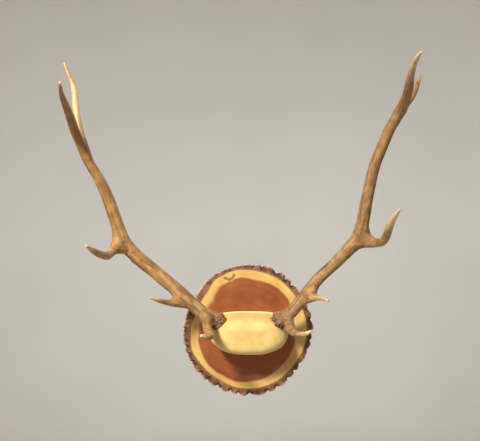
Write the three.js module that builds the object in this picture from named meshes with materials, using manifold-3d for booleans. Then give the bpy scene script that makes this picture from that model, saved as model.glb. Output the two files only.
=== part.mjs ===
// Elk antler mount: a pair of antlers on a covered skull cap, fixed to a slice of log that hangs on a wall.
// Millimetres, +Z up, +X to the right as seen from the front, -Y towards the viewer.
// The origin is the middle of the log slice's back face, which lies against the wall.
import * as THREE from "three";
import { mergeVertices } from "three/addons/utils/BufferGeometryUtils.js";
import Module from "manifold-3d";

const wasm = await Module();
wasm.setup();

// Colour, roughness and metalness
const LOOKS = {
  wood: { color: 0xb8763c, roughness: 0.55, metalness: 0 },
  cover: { color: 0xf0e0a0, roughness: 0.6, metalness: 0 },
  beam: { color: 0xa88056, roughness: 0.6, metalness: 0 },
  tine: { color: 0xc9a878, roughness: 0.5, metalness: 0 },
};

// Gap between pieces that touch
const GAP = 0.35;

// Log slice
const SLAB_THICKNESS = 38;
const SLAB_EDGE_BEVEL = 2.5;
// Outer radius of the bark at every 30 degrees, from the right-hand side and anticlockwise.
const BARK_RADII = [178, 175, 180, 179, 175, 169, 176, 180, 176, 179, 178, 174];
const BARK_LUMPS = 34;
const POINTS_PER_LUMP = 5;
const FURROW_DEPTH = 7;
const FURROW_NARROWNESS = 0.6;
const LUMP_SWELL = 1.5;
const LUMP_SWELL_SPACING = 2.6;
const SMOOTH_BARK = { at: THREE.MathUtils.degToRad(135), spread: 0.8, change: -0.7 };
const KNOBBY_BARK = { at: THREE.MathUtils.degToRad(58), spread: 0.5, change: 0.5 };

// Skull cap cover
const COVER_CENTRE = { x: 4, z: -6 };
const COVER_FOOT = -SLAB_THICKNESS - GAP;
const COVER_HALF_WIDTH = 101;
const COVER_RISE = 53;
const COVER_DROP = 55;
const COVER_DEPTH = 96;
const COVER_SQUARENESS = { top: 3.3, bottom: 2.4 };
const LIP_OVERHANG = 4;
const LIP_THICKNESS = 3.5;
const COVER_SEGMENTS = 36;

// Antlers
const BEAM_SIDES = 14;
const TINE_SIDES = 10;
const RINGS_PER_SPAN = 2;
const RIDGE_HEIGHT = 0.06;
const PEARL_COUNT = 15;
const PEARL_RADIUS = 5.5;
const PEARL_SIZE_RANGE = 0.2;
const PEARL_SIDES = 5;
const BURR_RADIUS = 25;
const BURR_EDGE_RADIUS = 20;
const BURR_HALF_THICKNESS = 5;
// Place of the burr, counted in points of the beam's line.
const BURR_AT = 1;

// Centre line of each beam and tine, from the root to the tip: x, y, z and radius.
// The beam starts inside the cover. Cuts are counted in points along the list.
const ANTLERS = {
  left: {
    beam: {
      line: [
        [-50, -78, 12, 13], [-76, -99, 33, 18.5], [-108, -108, 49, 17], [-143, -111, 78, 18],
        [-187, -110, 118, 17.5], [-240, -109, 162, 17.5], [-287, -112, 201, 18], [-320, -118, 240, 18],
        [-338, -132, 292, 16.5], [-355, -147, 348, 15.5], [-375, -160, 398, 13.5], [-399, -170, 441, 12.5],
        [-412, -176, 479, 11.5], [-421, -178, 518, 9.5], [-428, -178, 553, 9], [-433, -174, 588, 8.5],
        [-437, -168, 619, 8], [-443, -164, 643, 6.5], [-456, -158, 669, 4.5], [-467, -152, 697, 2],
      ],
      upperFrom: 7.9,
      tipFrom: 12.8,
    },
    tines: {
      brow_tine: {
        line: [
          [-104, -108, 50, 15], [-105, -142, 37, 13], [-102, -185, 26, 11.5], [-95, -228, 21, 10],
          [-89, -262, 20, 8.5], [-91, -285, 22, 7], [-101, -299, 24, 5.2], [-114, -306, 27, 2.4],
        ],
        freeFrom: 0.8,
      },
      bez_tine: {
        line: [
          [-148, -110, 86, 14], [-175, -120, 81, 10.5], [-199, -140, 85, 8], [-224, -168, 94, 5.5],
          [-245, -188, 103, 2.2],
        ],
        freeFrom: 1.6,
      },
      trez_tine: {
        line: [
          [-290, -112, 205, 15], [-316, -119, 227, 15.5], [-334, -142, 226, 13], [-343, -172, 216, 11.2],
          [-346, -208, 209, 10.3], [-353, -250, 213, 8.8], [-363, -295, 224, 6.5], [-373, -333, 238, 2.5],
        ],
        freeFrom: 2.2,
      },
      royal_tine: {
        line: [
          [-401, -171, 444, 12], [-413, -194, 480, 12], [-420, -236, 512, 11.5], [-421, -280, 538, 10.5],
          [-421, -325, 560, 8.5], [-417, -380, 575, 6], [-410, -420, 584, 4.3], [-404, -450, 590, 2.4],
        ],
        freeFrom: 1.3,
        partOf: "upper_beam",
      },
    },
  },
  right: {
    beam: {
      line: [
        [57, -78, 12, 13], [80, -99, 34, 18.5], [107, -108, 52, 16.5], [130, -111, 77, 16],
        [153, -110, 106, 16], [183, -109, 143, 15.5], [223, -110, 181, 15.5], [260, -114, 219, 17],
        [284, -120, 252, 17], [296, -132, 297, 16.5], [302, -143, 340, 15.5], [310, -153, 386, 15],
        [321, -162, 436, 14.5], [338, -168, 481, 14], [355, -174, 523, 13.5], [371, -178, 553, 12.5],
        [390, -180, 582, 10.5], [408, -177, 603, 8.5], [422, -163, 623, 7], [440, -125, 652, 5.5],
        [457, -85, 680, 2.5],
      ],
      upperFrom: 8.5,
      tipFrom: 16,
    },
    tines: {
      brow_tine: {
        line: [
          [101, -108, 50, 15], [103, -142, 38, 12.5], [103, -185, 28, 11.5], [107, -228, 25, 10],
          [118, -262, 24, 7.5], [132, -290, 28.5, 6], [147, -307, 38.5, 2.8],
        ],
        freeFrom: 0.8,
      },
      bez_tine: {
        line: [
          [136, -110, 88, 13.5], [158, -121, 93, 9], [174, -143, 97, 5.8], [189, -168, 99.5, 4.6],
          [200, -188, 95.5, 2.5],
        ],
        freeFrom: 1.4,
      },
      trez_tine: {
        line: [
          [251, -113, 210, 14.5], [280, -119, 236, 15.5], [304, -128, 240, 13.2], [324, -145, 238, 11.5],
          [338, -180, 244, 10.5], [340, -225, 265, 10], [340, -262, 287, 9], [342, -300, 306, 6.5],
          [347, -333, 321, 2.7],
        ],
        freeFrom: 2,
      },
      royal_tine: {
        line: [
          [366, -177, 541, 13], [377, -200, 568, 13], [381, -245, 591, 12], [375, -300, 610, 11],
          [369, -345, 627, 8.5], [366, -390, 642, 6.5], [365, -425, 650, 4.7], [366, -451, 655, 2.5],
        ],
        freeFrom: 1.3,
        partOf: "upper_beam",
      },
    },
  },
};

// A closed geometry as a solid that can be joined and cut.
function toSolid(geometry) {
  const bare = geometry.index ? geometry.clone() : geometry;
  bare.deleteAttribute("normal");
  bare.deleteAttribute("uv");
  const merged = mergeVertices(bare, 1e-3);
  return new wasm.Manifold(new wasm.Mesh({
    numProp: 3,
    vertProperties: new Float32Array(merged.attributes.position.array),
    triVerts: new Uint32Array(merged.index.array),
  }));
}

// A solid as a named mesh with its own material.
function toMesh(name, solid, look) {
  const { vertProperties, triVerts } = solid.getMesh();
  const geometry = new THREE.BufferGeometry();
  geometry.setAttribute("position", new THREE.BufferAttribute(vertProperties, 3));
  geometry.setIndex(new THREE.BufferAttribute(triVerts, 1));
  geometry.computeVertexNormals();
  const mesh = new THREE.Mesh(geometry, new THREE.MeshStandardMaterial(look));
  mesh.name = name;
  return mesh;
}

function joined(solids) {
  return solids.reduce((whole, solid) => whole.add(solid));
}

// A value that runs smoothly round a full turn through evenly spaced values.
function aroundTurn(values, angle) {
  const place = THREE.MathUtils.euclideanModulo(angle / (2 * Math.PI), 1) * values.length;
  const index = Math.floor(place);
  const blend = THREE.MathUtils.smoothstep(place - index, 0, 1);
  return THREE.MathUtils.lerp(values[index % values.length], values[(index + 1) % values.length], blend);
}

// How much a stretch of bark changes the lumps at an angle, fading out at its spread.
function barkChange(angle, { at, spread, change }) {
  const apart = Math.abs(THREE.MathUtils.euclideanModulo(angle - at + Math.PI, 2 * Math.PI) - Math.PI);
  return change * (1 - THREE.MathUtils.smoothstep(apart, 0, spread));
}

// The bark's edge: rounded lumps with furrows between, smooth at the upper left, knobbly at the upper right.
function barkRadius(angle) {
  const wander = 0.5 * Math.sin(3 * angle + 1) + 0.35 * Math.sin(7 * angle);
  const phase = BARK_LUMPS * angle / 2 + wander;
  const furrow = 1 - Math.abs(Math.sin(phase)) ** FURROW_NARROWNESS;
  const size = 1 + barkChange(angle, SMOOTH_BARK) + barkChange(angle, KNOBBY_BARK);
  const swell = LUMP_SWELL * Math.sin(phase / LUMP_SWELL_SPACING) * size;
  return aroundTurn(BARK_RADII, angle) + swell - FURROW_DEPTH * size * furrow;
}

function logSlice() {
  const count = BARK_LUMPS * POINTS_PER_LUMP;
  const outline = Array.from({ length: count }, (_, i) => {
    const angle = 2 * Math.PI * i / count;
    const radius = barkRadius(angle);
    return new THREE.Vector2(radius * Math.cos(angle), radius * Math.sin(angle));
  });
  const slice = new THREE.ExtrudeGeometry(new THREE.Shape(outline), {
    depth: SLAB_THICKNESS - 2 * SLAB_EDGE_BEVEL,
    bevelThickness: SLAB_EDGE_BEVEL,
    bevelSize: SLAB_EDGE_BEVEL,
    bevelOffset: -SLAB_EDGE_BEVEL,
    bevelSegments: 1,
  });
  slice.translate(0, 0, SLAB_EDGE_BEVEL);
  slice.rotateX(Math.PI / 2);
  return toSolid(slice);
}

// Outline of the cover seen from the front: flatter on top, rounder below.
function squareness(rise) {
  const share = THREE.MathUtils.smoothstep(rise, -0.3, 0.3);
  return THREE.MathUtils.lerp(COVER_SQUARENESS.bottom, COVER_SQUARENESS.top, share);
}

// Half the height of the cover above or below its middle.
function halfHeight(rise) {
  return rise > 0 ? COVER_RISE : COVER_DROP;
}

// The thin lip at the cover's foot, on the slice.
function coverLip(margin) {
  const outline = Array.from({ length: COVER_SEGMENTS }, (_, i) => {
    const angle = 2 * Math.PI * i / COVER_SEGMENTS;
    const [c, s] = [Math.cos(angle), Math.sin(angle)];
    const power = squareness(s);
    const reach = (Math.abs(c) ** power + Math.abs(s) ** power) ** (-1 / power);
    return new THREE.Vector2(
      COVER_CENTRE.x + c * reach * (COVER_HALF_WIDTH + LIP_OVERHANG + margin),
      COVER_CENTRE.z + s * reach * (halfHeight(s) + LIP_OVERHANG + margin),
    );
  });
  const lip = new THREE.ExtrudeGeometry(new THREE.Shape(outline), {
    depth: LIP_THICKNESS + margin,
    bevelEnabled: false,
  });
  lip.rotateX(Math.PI / 2);
  lip.translate(0, COVER_FOOT, 0);
  return toSolid(lip);
}

// The pillow-like cover with its lip, larger all round by the given margin.
function skullCover(margin = 0) {
  const dome = new THREE.SphereGeometry(1, COVER_SEGMENTS, COVER_SEGMENTS / 2);
  const vertex = new THREE.Vector3();
  for (let i = 0; i < dome.attributes.position.count; i += 1) {
    vertex.fromBufferAttribute(dome.attributes.position, i);
    const power = squareness(vertex.z);
    const reach = (Math.abs(vertex.x) ** power + Math.abs(vertex.y) ** power + Math.abs(vertex.z) ** power)
      ** (-1 / power);
    vertex.set(
      COVER_CENTRE.x + vertex.x * reach * (COVER_HALF_WIDTH + margin),
      COVER_FOOT + vertex.y * reach * (COVER_DEPTH + margin),
      COVER_CENTRE.z + vertex.z * reach * (halfHeight(vertex.z) + margin),
    );
    dome.attributes.position.setXYZ(i, vertex.x, vertex.y, vertex.z);
  }
  const inFront = new THREE.BoxGeometry(4 * COVER_HALF_WIDTH, 2 * COVER_DEPTH, 4 * COVER_HALF_WIDTH);
  inFront.translate(0, COVER_FOOT - COVER_DEPTH, 0);
  return toSolid(dome).intersect(toSolid(inFront)).add(coverLip(margin));
}

// Rings laid across the stretch of a centre line between two places counted in its points.
function ringsAlong(line, from, to) {
  const curve = new THREE.CatmullRomCurve3(line.map(([x, y, z]) => new THREE.Vector3(x, y, z)));
  const spans = line.length - 1;
  const steps = Math.max(1, Math.round((to - from) * RINGS_PER_SPAN));
  const across = new THREE.Vector3(0, 0.3, 1);
  return Array.from({ length: steps + 1 }, (_, step) => {
    const place = from + (to - from) * step / steps;
    const index = Math.min(Math.floor(place), spans - 1);
    const along = curve.getTangent(place / spans);
    across.addScaledVector(along, -across.dot(along)).normalize();
    return {
      place,
      centre: curve.getPoint(place / spans),
      across: across.clone(),
      aside: across.clone().cross(along),
      along,
      radius: THREE.MathUtils.lerp(line[index][3], line[index + 1][3], place - index),
    };
  });
}

// A turned spindle with its rings laid along the centre line, closed at both ends, with lengthwise ridges.
function horn(line, from, to, sides, ridge = () => 0) {
  const rings = ringsAlong(line, from, to);
  const profile = rings.map((ring, step) => new THREE.Vector2(1, step));
  profile.unshift(new THREE.Vector2(0, 0));
  profile.push(new THREE.Vector2(0, rings.length - 1));
  const geometry = new THREE.LatheGeometry(profile, sides);
  const vertex = new THREE.Vector3();
  for (let i = 0; i < geometry.attributes.position.count; i += 1) {
    vertex.fromBufferAttribute(geometry.attributes.position, i);
    const ring = rings[Math.round(vertex.y)];
    const turn = THREE.MathUtils.euclideanModulo(Math.atan2(vertex.x, vertex.z) / (2 * Math.PI), 1);
    const sideNumber = Math.round(turn * sides) % sides;
    const height = ring.radius * (1 + ridge(ring.place) * (sideNumber % 2 ? 1 : -1));
    const place = ring.centre.clone()
      .addScaledVector(ring.across, vertex.x * height)
      .addScaledVector(ring.aside, vertex.z * height);
    geometry.attributes.position.setXYZ(i, place.x, place.y, place.z);
  }
  return toSolid(geometry);
}

// The burr: a knobbly ring of pearls round the beam's root.
function burr(line) {
  const ring = ringsAlong(line, BURR_AT, BURR_AT + 1)[0];
  const collar = new THREE.LatheGeometry([
    new THREE.Vector2(0, -BURR_HALF_THICKNESS),
    new THREE.Vector2(BURR_EDGE_RADIUS, -BURR_HALF_THICKNESS),
    new THREE.Vector2(BURR_RADIUS, 0),
    new THREE.Vector2(BURR_EDGE_RADIUS, BURR_HALF_THICKNESS),
    new THREE.Vector2(0, BURR_HALF_THICKNESS),
  ], PEARL_COUNT);
  const facing = new THREE.Matrix4().makeBasis(ring.across, ring.along, ring.aside);
  collar.applyMatrix4(facing.setPosition(ring.centre));
  const pearls = Array.from({ length: PEARL_COUNT }, (_, i) => {
    const angle = 2 * Math.PI * (i + 0.5) / PEARL_COUNT;
    const size = 1 + PEARL_SIZE_RANGE * Math.sin(5 * i);
    const pearl = new THREE.SphereGeometry(PEARL_RADIUS * size, PEARL_SIDES, PEARL_SIDES - 1);
    const spot = new THREE.Vector3(
      BURR_RADIUS * Math.cos(angle),
      BURR_HALF_THICKNESS * 0.5 * Math.sin(3 * i),
      BURR_RADIUS * Math.sin(angle),
    ).applyMatrix4(facing);
    pearl.translate(spot.x, spot.y, spot.z);
    return toSolid(pearl);
  });
  return joined([toSolid(collar), ...pearls]);
}

// The largest body of a solid, without slivers that a cut leaves behind.
function withoutSlivers(solid) {
  return solid.decompose().reduce((largest, body) => (body.volume() > largest.volume() ? body : largest));
}

// One antler: its beam in three lengths and its tines, parted at the forks.
function antler(side, { beam, tines }, roomForCover) {
  const fade = (place) => RIDGE_HEIGHT * (1 - THREE.MathUtils.smoothstep(place, 0, beam.tipFrom));
  const end = beam.line.length - 1;
  const lowerStubs = [];
  const upperStubs = [];
  const freeTines = [];
  for (const [name, tine] of Object.entries(tines)) {
    const tip = tine.line.length - 1;
    const stub = horn(tine.line, 0, tine.freeFrom, TINE_SIDES);
    (tine.partOf === "upper_beam" ? upperStubs : lowerStubs).push(stub);
    const root = tine.freeFrom + gapInSpans(tine.line, tine.freeFrom);
    freeTines.push(toMesh(`${side}_${name}`, horn(tine.line, root, tip, TINE_SIDES), LOOKS.tine));
  }
  const lower = withoutSlivers(joined([
    horn(beam.line, 0, beam.upperFrom, BEAM_SIDES, fade),
    burr(beam.line),
    ...lowerStubs,
  ]).subtract(roomForCover));
  const upperRoot = beam.upperFrom + gapInSpans(beam.line, beam.upperFrom);
  const upper = joined([horn(beam.line, upperRoot, beam.tipFrom, BEAM_SIDES, fade), ...upperStubs]);
  const tipRoot = beam.tipFrom + gapInSpans(beam.line, beam.tipFrom);
  return [
    toMesh(`${side}_main_beam`, lower, LOOKS.beam),
    toMesh(`${side}_upper_beam`, upper, LOOKS.beam),
    toMesh(`${side}_beam_tip`, horn(beam.line, tipRoot, end, TINE_SIDES), LOOKS.tine),
    ...freeTines,
  ];
}

// The gap between two lengths, counted in points of the centre line.
function gapInSpans(line, place) {
  const index = Math.floor(place);
  const [from, to] = [line[index], line[index + 1]].map(([x, y, z]) => new THREE.Vector3(x, y, z));
  return GAP / from.distanceTo(to);
}

const mount = new THREE.Group();
mount.add(toMesh("log_slice", logSlice(), LOOKS.wood));
mount.add(toMesh("skull_cover", skullCover(), LOOKS.cover));
const roomForCover = skullCover(GAP);
for (const [side, shape] of Object.entries(ANTLERS)) {
  mount.add(...antler(side, shape, roomForCover));
}

export default mount;
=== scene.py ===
import itertools
import math

import bpy
import numpy as np
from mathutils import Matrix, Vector


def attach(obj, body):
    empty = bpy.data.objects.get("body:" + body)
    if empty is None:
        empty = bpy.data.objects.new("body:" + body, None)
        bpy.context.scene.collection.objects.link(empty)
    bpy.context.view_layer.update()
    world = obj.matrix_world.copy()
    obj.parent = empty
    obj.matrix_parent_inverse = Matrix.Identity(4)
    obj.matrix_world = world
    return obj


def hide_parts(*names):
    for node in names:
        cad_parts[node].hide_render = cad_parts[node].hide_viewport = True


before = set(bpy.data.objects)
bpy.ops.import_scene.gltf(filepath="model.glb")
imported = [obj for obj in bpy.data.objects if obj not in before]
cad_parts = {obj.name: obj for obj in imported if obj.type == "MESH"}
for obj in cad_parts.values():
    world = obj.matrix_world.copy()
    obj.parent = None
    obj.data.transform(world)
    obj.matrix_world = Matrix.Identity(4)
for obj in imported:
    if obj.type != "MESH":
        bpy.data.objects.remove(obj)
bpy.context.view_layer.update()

# Camera, level with the middle of the mount and about two metres from the wall
CAMERA_PLACE = (-0.020, -2.0, 0.2956)
CAMERA_TARGET = (-0.020, 0.0, 0.2956)
SENSOR_WIDTH = 0.036
VIEW_WIDTH_AT_WALL = 1.320

# Log slice
SLAB_THICKNESS = 0.038
# Radii at evenly spaced angles, from the right-hand side and anticlockwise.
BARK_RADII = [0.178, 0.175, 0.180, 0.179, 0.175, 0.169, 0.176, 0.180, 0.176, 0.179, 0.178, 0.174]
WOOD_RADII = [0.162, 0.160, 0.160, 0.162, 0.162, 0.165, 0.162, 0.148, 0.146,
              0.154, 0.160, 0.156, 0.155, 0.159, 0.160, 0.160, 0.157, 0.160]
HEART_RADII = [0.128, 0.130, 0.138, 0.139, 0.137, 0.143, 0.139, 0.124, 0.121,
               0.131, 0.137, 0.141, 0.139, 0.142, 0.139, 0.135, 0.133, 0.133]
# Where the heartwood fades softly into the sapwood: middle of the stretch, how far it reaches, how soft.
SOFT_HEART = (math.radians(148), 0.9, 0.0065)
SHARP_HEART = 0.0026
BARK_LUMPS = 34
FURROW_DEPTH = 0.007
FURROW_NARROWNESS = 0.6
LUMP_SWELL = 0.0015
LUMP_SWELL_SPACING = 2.6
# Stretches where the bark's lumps change: middle of the stretch, how far it reaches, change in size.
SMOOTH_BARK = (math.radians(135), 0.8, -0.7)
KNOBBY_BARK = (math.radians(58), 0.5, 0.5)
LUMP_VARIETY = 0.25
NICK_DEPTH = 0.0011
# The bark's cut edge on the face: a small step down from the wood, then a rounded rim cut by the furrows.
BARK_STEP = 0.0007
RIM_ROUNDING = 0.0030
RIM_FURROW_DEPTH = 0.0085
BACK_ROUNDING = 0.002
SIDE_BULGE = 0.0012
# How far chunks and finer flakes stand out on the bark's side and on its cut edge.
CHUNK_SIZE = 0.009
FLAKE_SIZE = 0.004
SIDE_CHUNKS = 0.0012
SIDE_FLAKES = 0.0007
SIDE_INSET = 0.0026
EDGE_CHUNKS = 0.0006
EDGE_FLAKES = 0.0005
SAW_MARKS = 0.00012
# The crack where bark has grown into the wood: x and z on the slice's face.
CRACK = [
    (-0.060, 0.1395), (-0.054, 0.1362), (-0.047, 0.1350),
    (-0.0405, 0.1380), (-0.0365, 0.1430), (-0.0350, 0.1480),
]
CRACK_WIDTH = 0.0029
CRACK_DEPTH = 0.0030
SIDES_PER_LUMP = 22

# Skull cap cover
COVER_CENTRE = (0.004, -0.006)
COVER_FOOT = -0.03835
COVER_HALF_WIDTH = 0.0995
COVER_RISE = 0.051
COVER_DROP = 0.0515
COVER_DEPTH = 0.096
# How square the cover's outline is, and how flat its front, in its lower and upper half.
COVER_SQUARENESS = (2.4, 3.3)
COVER_FLATNESS = (5.0, 3.3)
COVER_SIDES = 288
COVER_RINGS = 84
LIP_THICKNESS = 0.0035
# The lip's rolled edge, ring by ring: how far out, and how far back from the lip's top.
LIP_RINGS = ((0.0015, 0.0000), (0.0042, 0.0003), (0.0057, 0.0012), (0.0060, 0.0022), (0.0055, 0.0031))
LIP_FOOT_REACH = 0.0055
# Soft unevenness of the hide: height, size and seed of each layer, and how far all of it is set in.
HIDE_WAVES = ((0.0011, 0.034, 3), (0.0005, 0.013, 9), (0.00012, 0.0035, 5))
HIDE_INSET = 0.0011

# Antlers: for each beam and tine, x, y, z and radius along its middle from the root to the tip,
# then how pale it is from 0 to 1 at distances from the tip, then the width of the web at its fork.
ANTLERS = {
    "left": {
        "beam": ([
            (-0.050, -0.078, 0.012, 0.0130), (-0.076, -0.099, 0.033, 0.0185), (-0.108, -0.108, 0.049, 0.0170),
            (-0.143, -0.111, 0.078, 0.0180), (-0.187, -0.110, 0.118, 0.0175), (-0.240, -0.109, 0.162, 0.0175),
            (-0.287, -0.112, 0.201, 0.0180), (-0.320, -0.118, 0.240, 0.0180), (-0.338, -0.132, 0.292, 0.0165),
            (-0.355, -0.147, 0.348, 0.0155), (-0.375, -0.160, 0.398, 0.0135), (-0.399, -0.170, 0.441, 0.0125),
            (-0.412, -0.176, 0.479, 0.0115), (-0.421, -0.178, 0.518, 0.0095), (-0.428, -0.178, 0.553, 0.0090),
            (-0.433, -0.174, 0.588, 0.0085), (-0.437, -0.168, 0.619, 0.0080), (-0.443, -0.164, 0.643, 0.0065),
            (-0.456, -0.158, 0.669, 0.0045), (-0.467, -0.152, 0.697, 0.0020),
        # The pale band from 80 to 160 mm below the left beam's tip is a painted highlight on its lit face;
        # the pale tip itself is the antler's own colour.
        ], [(0, 0.8), (0.01, 0.25), (0.05, 0.25), (0.08, 0.6), (0.16, 0.55), (0.23, 0)], 0),
        "brow_tine": ([
            (-0.104, -0.108, 0.050, 0.0150), (-0.105, -0.142, 0.037, 0.0130), (-0.102, -0.185, 0.026, 0.0115),
            (-0.095, -0.228, 0.021, 0.0100), (-0.089, -0.262, 0.020, 0.0085), (-0.091, -0.285, 0.022, 0.0074),
            (-0.101, -0.299, 0.024, 0.0066), (-0.113, -0.306, 0.027, 0.0036),
        ], [(0, 1), (0.005, 0.6), (0.014, 0.25), (0.035, 0)], 0.024),
        "bez_tine": ([
            (-0.148, -0.110, 0.086, 0.0140), (-0.175, -0.120, 0.081, 0.0105), (-0.199, -0.140, 0.085, 0.0080),
            (-0.224, -0.168, 0.094, 0.0055), (-0.245, -0.188, 0.103, 0.0022),
        ], [(0, 0.9), (0.015, 0.5), (0.05, 0.2), (0.09, 0)], 0.030),
        "trez_tine": ([
            (-0.290, -0.112, 0.205, 0.0150), (-0.316, -0.119, 0.227, 0.0155), (-0.334, -0.142, 0.226, 0.0130),
            (-0.343, -0.172, 0.216, 0.0112), (-0.346, -0.208, 0.209, 0.0103), (-0.353, -0.250, 0.213, 0.0092),
            (-0.363, -0.295, 0.224, 0.0073), (-0.373, -0.333, 0.238, 0.0025),
        ], [(0, 1), (0.008, 0.6), (0.03, 0.2), (0.08, 0.08), (0.14, 0)], 0.040),
        "royal_tine": ([
            (-0.401, -0.171, 0.444, 0.0120), (-0.413, -0.194, 0.480, 0.0120), (-0.420, -0.236, 0.512, 0.0115),
            (-0.421, -0.280, 0.538, 0.0105), (-0.421, -0.325, 0.560, 0.0085), (-0.417, -0.380, 0.575, 0.0060),
            (-0.410, -0.420, 0.584, 0.0043), (-0.404, -0.450, 0.590, 0.0024),
        ], [(0, 1), (0.008, 0.6), (0.03, 0.15), (0.08, 0)], 0.024),
    },
    "right": {
        "beam": ([
            (0.057, -0.078, 0.012, 0.0130), (0.080, -0.099, 0.034, 0.0185), (0.107, -0.108, 0.052, 0.0165),
            (0.130, -0.111, 0.077, 0.0160), (0.153, -0.110, 0.106, 0.0160), (0.183, -0.109, 0.143, 0.0155),
            (0.223, -0.110, 0.181, 0.0155), (0.260, -0.114, 0.219, 0.0170), (0.284, -0.120, 0.252, 0.0170),
            (0.296, -0.132, 0.297, 0.0165), (0.302, -0.143, 0.340, 0.0155), (0.310, -0.153, 0.386, 0.0150),
            (0.321, -0.162, 0.436, 0.0145), (0.338, -0.168, 0.481, 0.0140), (0.355, -0.174, 0.523, 0.0135),
            (0.371, -0.178, 0.553, 0.0125), (0.390, -0.180, 0.582, 0.0105), (0.408, -0.177, 0.603, 0.0085),
            (0.422, -0.163, 0.623, 0.0070), (0.440, -0.125, 0.652, 0.0055), (0.457, -0.085, 0.680, 0.0025),
        ], [(0, 0.9), (0.01, 0.5), (0.05, 0.3), (0.12, 0)], 0),
        "brow_tine": ([
            (0.101, -0.108, 0.050, 0.0150), (0.103, -0.142, 0.038, 0.0125), (0.103, -0.185, 0.028, 0.0115),
            (0.107, -0.228, 0.025, 0.0100), (0.118, -0.262, 0.024, 0.0075), (0.132, -0.290, 0.0285, 0.0060),
            (0.147, -0.307, 0.0385, 0.0028),
        ], [(0, 1), (0.012, 0.8), (0.03, 0.4), (0.055, 0.12), (0.09, 0)], 0.024),
        "bez_tine": ([
            (0.136, -0.110, 0.088, 0.0135), (0.158, -0.121, 0.093, 0.0098), (0.174, -0.143, 0.097, 0.0068),
            (0.189, -0.168, 0.0995, 0.0057), (0.200, -0.188, 0.0955, 0.0032),
        ], [(0, 1), (0.012, 0.7), (0.05, 0.35), (0.09, 0)], 0.034),
        "trez_tine": ([
            (0.251, -0.113, 0.210, 0.0145), (0.280, -0.119, 0.236, 0.0155), (0.304, -0.128, 0.240, 0.0132),
            (0.324, -0.145, 0.238, 0.0115), (0.338, -0.180, 0.244, 0.0105), (0.340, -0.225, 0.265, 0.0100),
            (0.340, -0.262, 0.287, 0.0090), (0.342, -0.300, 0.306, 0.0065), (0.347, -0.333, 0.321, 0.0027),
        ], [(0, 1), (0.03, 1), (0.07, 0.75), (0.10, 0.3), (0.14, 0)], 0.042),
        "royal_tine": ([
            (0.366, -0.177, 0.541, 0.0130), (0.377, -0.200, 0.568, 0.0130), (0.381, -0.245, 0.591, 0.0120),
            (0.375, -0.300, 0.610, 0.0110), (0.369, -0.345, 0.627, 0.0085), (0.366, -0.390, 0.642, 0.0065),
            (0.365, -0.425, 0.650, 0.0047), (0.366, -0.451, 0.655, 0.0025),
        ], [(0, 0.9), (0.03, 0.6), (0.10, 0.35), (0.16, 0)], 0.026),
    },
}
# Small bumps on the beams: middle and radius.
NUBS = {
    "left": [(-0.297, -0.113, 0.190, 0.0048)],
    "right": [(0.262, -0.116, 0.205, 0.0040)],
}
# Hollows carved between each burr and its brow tine, also darkened with painted shade: middle and radius.
HOLLOWS = {
    "left": [(-0.087, -0.108, 0.017, 0.0075)],
    "right": [(0.074, -0.117, 0.024, 0.0050), (0.088, -0.112, 0.019, 0.0055)],
}
# The beam's mesh starts half way along the first stretch, inside the cover.
ROOT_PLACE = 0.5
BEAM_STEPS = 6
TINE_STEPS = 15
# A web grows to its full width over this first length of a tine.
WEB_START = 0.03
# A tine's own gutters fade in over this first length.
ROOT_FADE = 0.034
BURR_AT = 1
BURR_RING_RADIUS = 0.0150
BURR_RING_THICKNESS = 0.0045
# Teeth of the burr, row by row: how many, from where to where outwards, place along the beam, radius.
TOOTH_ROWS = [
    (21, 0.0140, 0.0265, 0.0012, 0.0019),
    (17, 0.0140, 0.0225, -0.0038, 0.0019),
    (15, 0.0140, 0.0198, 0.0080, 0.0020),
    (11, 0.0140, 0.0180, 0.0145, 0.0019),
]
# The teeth lie within this distance of the burr's middle.
BURR_REACH = 0.045
# Widths of the rounded corners where shapes join, and of the webs at a tine's root and along its sides.
TOOTH_BLEND = 0.0015
BURR_BLEND = 0.003
NUB_BLEND = 0.006
HOLLOW_BLEND = 0.003
ROOT_WEB = 0.003
SIDE_WEB = 0.007
# Points this close to a fork's seam, by how much the two skins' distances differ, are evened out.
FORK_REACH = (0.006, 0.014)
FORK_ROUNDS = 10
# The plain body that is fused and then drawn on to the skin: its tubes, and its burr disc's rings.
ROUGH_SIDES = 16
ROUGH_MARGIN = 0.0004
ROUGH_BURR = ((-0.006, 0.018), (-0.003, 0.0235), (0.005, 0.0235), (0.017, 0.0195))
ANTLER_VOXEL = 0.0014

# Antler relief: sizes across the antler, and heights
RELIEF_SEEDS = {"left": 7, "right": 11}
GUTTER_SIZE = 0.0052
GUTTER_WIDTH = 0.27
GUTTER_DEPTH = 0.0012
SWELL_SIZE = 0.010
SWELL_HEIGHT = 0.0008
GRAIN_SIZE = 0.0018
GRAIN_HEIGHT = 0.00015
PEARL_SIZE = 0.0036
PEARL_HEIGHT = 0.0012
PEARL_GRAIN = 0.0002
# Distances from the burr's middle between which the pearls and the dusty colour fade out.
NEAR_BURR = (0.022, 0.075)
# How strong the painted shade of dark brown is along each branch, at shares of its length from the root.
BEAM_PAINTED_SHADE = ((0, 0.42, 0.56, 0.70, 0.80), (0, 0.0, 0.5, 0.9, 0.2))
TINE_PAINTED_SHADE = ((0, 0.25, 0.7, 1), (0.5, 0.8, 0.7, 0.3))
# The heights that fill the range of the stored relief and edge numbers.
RELIEF_RANGE = 0.003
EDGE_RANGE = 0.0007


# Noise and small helpers

TINY = 1e-9


def smoothstep(low, high, value):
    share = np.clip((value - low) / (high - low), 0, 1)
    return share * share * (3 - 2 * share)


def corner_value(cell, seed):
    """A fixed value from -1 to 1 for each corner of a grid, different for each seed."""
    mixed = cell[..., 0] * 73856093 ^ cell[..., 1] * 19349663 ^ cell[..., 2] * 83492791 ^ seed * 2654435761
    mixed = (mixed ^ (mixed >> 13)) * 1274126177
    return ((mixed ^ (mixed >> 16)) & 0xffff) / 32767.5 - 1.0


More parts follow.
